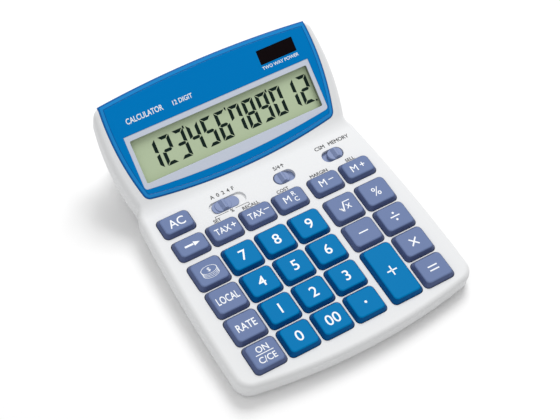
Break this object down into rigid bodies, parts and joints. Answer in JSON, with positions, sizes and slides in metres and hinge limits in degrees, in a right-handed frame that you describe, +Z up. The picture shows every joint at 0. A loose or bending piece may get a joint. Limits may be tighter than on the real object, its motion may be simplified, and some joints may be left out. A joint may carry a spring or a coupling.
{
  "type": "desk calculator",
  "caption": "Desk calculator: sloping keypad of push keys on a rubber mat, raised display head with lens, solar cell, slide switches and button cell bay.",
  "frame": {"origin": "centre of the footprint, on the desk under the feet", "axes": "+X right, +Y to the rear where the display head rises, +Z up"},
  "size_m": [0.1452, 0.1752, 0.0522],
  "materials": {
    "housing": "fine moulded ABS",
    "lens": "clear acrylic, back printed blue",
    "bezel": "moulded lavender",
    "lcd": "reflective liquid crystal glass",
    "bracket": "moulded",
    "ribbon": "heat-seal film",
    "solar": "amorphous silicon on glass",
    "red_lead": "PVC insulation",
    "black_lead": "PVC insulation",
    "board": "phenolic board",
    "blob": "epoxy",
    "mat": "moulded silicone",
    "blue_key": "moulded ABS",
    "slate_key": "moulded ABS",
    "steel": "nickel plated",
    "contact": "phosphor bronze",
    "cell": "stainless can",
    "foot": "moulded"
  },
  "bodies": {
    "housing": {"upper_case": "housing", "lower_case": "housing", "display_lens": "lens", "lcd_frame": "bezel", "lcd_panel": "lcd", "lcd_clamp": "bracket", "lcd_ribbon": "ribbon", "solar_cell": "solar", "solar_leads": "red_lead", "main_board": "board", "chip_blob": "blob", "keypad_mat": "mat", "battery_cell": "cell", "battery_contact_plus": "steel", "battery_contact_minus": "steel", "battery_leads": "black_lead", "case_screws": "steel", "board_screws": "steel", "rubber_feet": "foot"},
    "key_all_clear_cap": {"key_all_clear": "slate_key"},
    "key_shift_right_cap": {"key_shift_right": "slate_key"},
    "key_tax_plus_cap": {"key_tax_plus": "slate_key"},
    "key_tax_minus_cap": {"key_tax_minus": "slate_key"},
    "key_memory_recall_cap": {"key_memory_recall": "slate_key"},
    "key_memory_minus_cap": {"key_memory_minus": "slate_key"},
    "key_memory_plus_cap": {"key_memory_plus": "slate_key"},
    "key_currency_cap": {"key_currency": "slate_key"},
    "key_7_cap": {"key_7": "blue_key"},
    "key_8_cap": {"key_8": "blue_key"},
    "key_9_cap": {"key_9": "blue_key"},
    "key_root_cap": {"key_root": "slate_key"},
    "key_percent_cap": {"key_percent": "slate_key"},
    "key_local_cap": {"key_local": "slate_key"},
    "key_4_cap": {"key_4": "blue_key"},
    "key_5_cap": {"key_5": "blue_key"},
    "key_6_cap": {"key_6": "blue_key"},
    "key_minus_cap": {"key_minus": "slate_key"},
    "key_divide_cap": {"key_divide": "slate_key"},
    "key_rate_cap": {"key_rate": "slate_key"},
    "key_1_cap": {"key_1": "blue_key"},
    "key_2_cap": {"key_2": "blue_key"},
    "key_3_cap": {"key_3": "blue_key"},
    "key_plus_cap": {"key_plus": "blue_key"},
    "key_multiply_cap": {"key_multiply": "slate_key"},
    "key_on_clear_cap": {"key_on_clear": "slate_key"},
    "key_0_cap": {"key_0": "blue_key"},
    "key_00_cap": {"key_00": "blue_key"},
    "key_point_cap": {"key_point": "blue_key"},
    "key_equals_cap": {"key_equals": "slate_key"},
    "decimal_switch_knob": {"decimal_switch": "slate_key", "decimal_switch_contact": "contact"},
    "rounding_switch_knob": {"rounding_switch": "slate_key", "rounding_switch_contact": "contact"},
    "memory_switch_knob": {"memory_switch": "slate_key", "memory_switch_contact": "contact"},
    "battery_door": {"battery_cover": "housing"}
  },
  "joints": [
    {"name": "key_all_clear_press", "type": "slide", "parent": "housing", "child": "key_all_clear_cap", "axis": [0, 0.0349, -0.9994], "range_m": [0, 0.0018], "stiffness_N_per_m": 400, "deforming": ["keypad_mat"]},
    {"name": "key_shift_right_press", "type": "slide", "parent": "housing", "child": "key_shift_right_cap", "axis": [0, 0.0349, -0.9994], "range_m": [0, 0.0018], "stiffness_N_per_m": 400, "deforming": ["keypad_mat"]},
    {"name": "key_tax_plus_press", "type": "slide", "parent": "housing", "child": "key_tax_plus_cap", "axis": [0, 0.0349, -0.9994], "range_m": [0, 0.0018], "stiffness_N_per_m": 400, "deforming": ["keypad_mat"]},
    {"name": "key_tax_minus_press", "type": "slide", "parent": "housing", "child": "key_tax_minus_cap", "axis": [0, 0.0349, -0.9994], "range_m": [0, 0.0018], "stiffness_N_per_m": 400, "deforming": ["keypad_mat"]},
    {"name": "key_memory_recall_press", "type": "slide", "parent": "housing", "child": "key_memory_recall_cap", "axis": [0, 0.0349, -0.9994], "range_m": [0, 0.0018], "stiffness_N_per_m": 400, "deforming": ["keypad_mat"]},
    {"name": "key_memory_minus_press", "type": "slide", "parent": "housing", "child": "key_memory_minus_cap", "axis": [0, 0.0349, -0.9994], "range_m": [0, 0.0018], "stiffness_N_per_m": 400, "deforming": ["keypad_mat"]},
    {"name": "key_memory_plus_press", "type": "slide", "parent": "housing", "child": "key_memory_plus_cap", "axis": [0, 0.0349, -0.9994], "range_m": [0, 0.0018], "stiffness_N_per_m": 400, "deforming": ["keypad_mat"]},
    {"name": "key_currency_press", "type": "slide", "parent": "housing", "child": "key_currency_cap", "axis": [0, 0.0349, -0.9994], "range_m": [0, 0.0018], "stiffness_N_per_m": 400, "deforming": ["keypad_mat"]},
    {"name": "key_7_press", "type": "slide", "parent": "housing", "child": "key_7_cap", "axis": [0, 0.0349, -0.9994], "range_m": [0, 0.0018], "stiffness_N_per_m": 400, "deforming": ["keypad_mat"]},
    {"name": "key_8_press", "type": "slide", "parent": "housing", "child": "key_8_cap", "axis": [0, 0.0349, -0.9994], "range_m": [0, 0.0018], "stiffness_N_per_m": 400, "deforming": ["keypad_mat"]},
    {"name": "key_9_press", "type": "slide", "parent": "housing", "child": "key_9_cap", "axis": [0, 0.0349, -0.9994], "range_m": [0, 0.0018], "stiffness_N_per_m": 400, "deforming": ["keypad_mat"]},
    {"name": "key_root_press", "type": "slide", "parent": "housing", "child": "key_root_cap", "axis": [0, 0.0349, -0.9994], "range_m": [0, 0.0018], "stiffness_N_per_m": 400, "deforming": ["keypad_mat"]},
    {"name": "key_percent_press", "type": "slide", "parent": "housing", "child": "key_percent_cap", "axis": [0, 0.0349, -0.9994], "range_m": [0, 0.0018], "stiffness_N_per_m": 400, "deforming": ["keypad_mat"]},
    {"name": "key_local_press", "type": "slide", "parent": "housing", "child": "key_local_cap", "axis": [0, 0.0349, -0.9994], "range_m": [0, 0.0018], "stiffness_N_per_m": 400, "deforming": ["keypad_mat"]},
    {"name": "key_4_press", "type": "slide", "parent": "housing", "child": "key_4_cap", "axis": [0, 0.0349, -0.9994], "range_m": [0, 0.0018], "stiffness_N_per_m": 400, "deforming": ["keypad_mat"]},
    {"name": "key_5_press", "type": "slide", "parent": "housing", "child": "key_5_cap", "axis": [0, 0.0349, -0.9994], "range_m": [0, 0.0018], "stiffness_N_per_m": 400, "deforming": ["keypad_mat"]},
    {"name": "key_6_press", "type": "slide", "parent": "housing", "child": "key_6_cap", "axis": [0, 0.0349, -0.9994], "range_m": [0, 0.0018], "stiffness_N_per_m": 400, "deforming": ["keypad_mat"]},
    {"name": "key_minus_press", "type": "slide", "parent": "housing", "child": "key_minus_cap", "axis": [0, 0.0349, -0.9994], "range_m": [0, 0.0018], "stiffness_N_per_m": 400, "deforming": ["keypad_mat"]},
    {"name": "key_divide_press", "type": "slide", "parent": "housing", "child": "key_divide_cap", "axis": [0, 0.0349, -0.9994], "range_m": [0, 0.0018], "stiffness_N_per_m": 400, "deforming": ["keypad_mat"]},
    {"name": "key_rate_press", "type": "slide", "parent": "housing", "child": "key_rate_cap", "axis": [0, 0.0349, -0.9994], "range_m": [0, 0.0018], "stiffness_N_per_m": 400, "deforming": ["keypad_mat"]},
    {"name": "key_1_press", "type": "slide", "parent": "housing", "child": "key_1_cap", "axis": [0, 0.0349, -0.9994], "range_m": [0, 0.0018], "stiffness_N_per_m": 400, "deforming": ["keypad_mat"]},
    {"name": "key_2_press", "type": "slide", "parent": "housing", "child": "key_2_cap", "axis": [0, 0.0349, -0.9994], "range_m": [0, 0.0018], "stiffness_N_per_m": 400, "deforming": ["keypad_mat"]},
    {"name": "key_3_press", "type": "slide", "parent": "housing", "child": "key_3_cap", "axis": [0, 0.0349, -0.9994], "range_m": [0, 0.0018], "stiffness_N_per_m": 400, "deforming": ["keypad_mat"]},
    {"name": "key_plus_press", "type": "slide", "parent": "housing", "child": "key_plus_cap", "axis": [0, 0.0349, -0.9994], "range_m": [0, 0.0018], "stiffness_N_per_m": 400, "deforming": ["keypad_mat"]},
    {"name": "key_multiply_press", "type": "slide", "parent": "housing", "child": "key_multiply_cap", "axis": [0, 0.0349, -0.9994], "range_m": [0, 0.0018], "stiffness_N_per_m": 400, "deforming": ["keypad_mat"]},
    {"name": "key_on_clear_press", "type": "slide", "parent": "housing", "child": "key_on_clear_cap", "axis": [0, 0.0349, -0.9994], "range_m": [0, 0.0018], "stiffness_N_per_m": 400, "deforming": ["keypad_mat"]},
    {"name": "key_0_press", "type": "slide", "parent": "housing", "child": "key_0_cap", "axis": [0, 0.0349, -0.9994], "range_m": [0, 0.0018], "stiffness_N_per_m": 400, "deforming": ["keypad_mat"]},
    {"name": "key_00_press", "type": "slide", "parent": "housing", "child": "key_00_cap", "axis": [0, 0.0349, -0.9994], "range_m": [0, 0.0018], "stiffness_N_per_m": 400, "deforming": ["keypad_mat"]},
    {"name": "key_point_press", "type": "slide", "parent": "housing", "child": "key_point_cap", "axis": [0, 0.0349, -0.9994], "range_m": [0, 0.0018], "stiffness_N_per_m": 400, "deforming": ["keypad_mat"]},
    {"name": "key_equals_press", "type": "slide", "parent": "housing", "child": "key_equals_cap", "axis": [0, 0.0349, -0.9994], "range_m": [0, 0.0018], "stiffness_N_per_m": 400, "deforming": ["keypad_mat"]},
    {"name": "decimal_switch_slide", "type": "slide", "parent": "housing", "child": "decimal_switch_knob", "axis": [1, 0, 0], "range_m": [-0.0012, 0.004]},
    {"name": "rounding_switch_slide", "type": "slide", "parent": "housing", "child": "rounding_switch_knob", "axis": [1, 0, 0], "range_m": [0, 0.003]},
    {"name": "memory_switch_slide", "type": "slide", "parent": "housing", "child": "memory_switch_knob", "axis": [1, 0, 0], "range_m": [-0.003, 0]},
    {"name": "battery_cover_slide", "type": "slide", "parent": "housing", "child": "battery_door", "axis": [0, 1, 0], "range_m": [0, 0.004]}
  ]
}
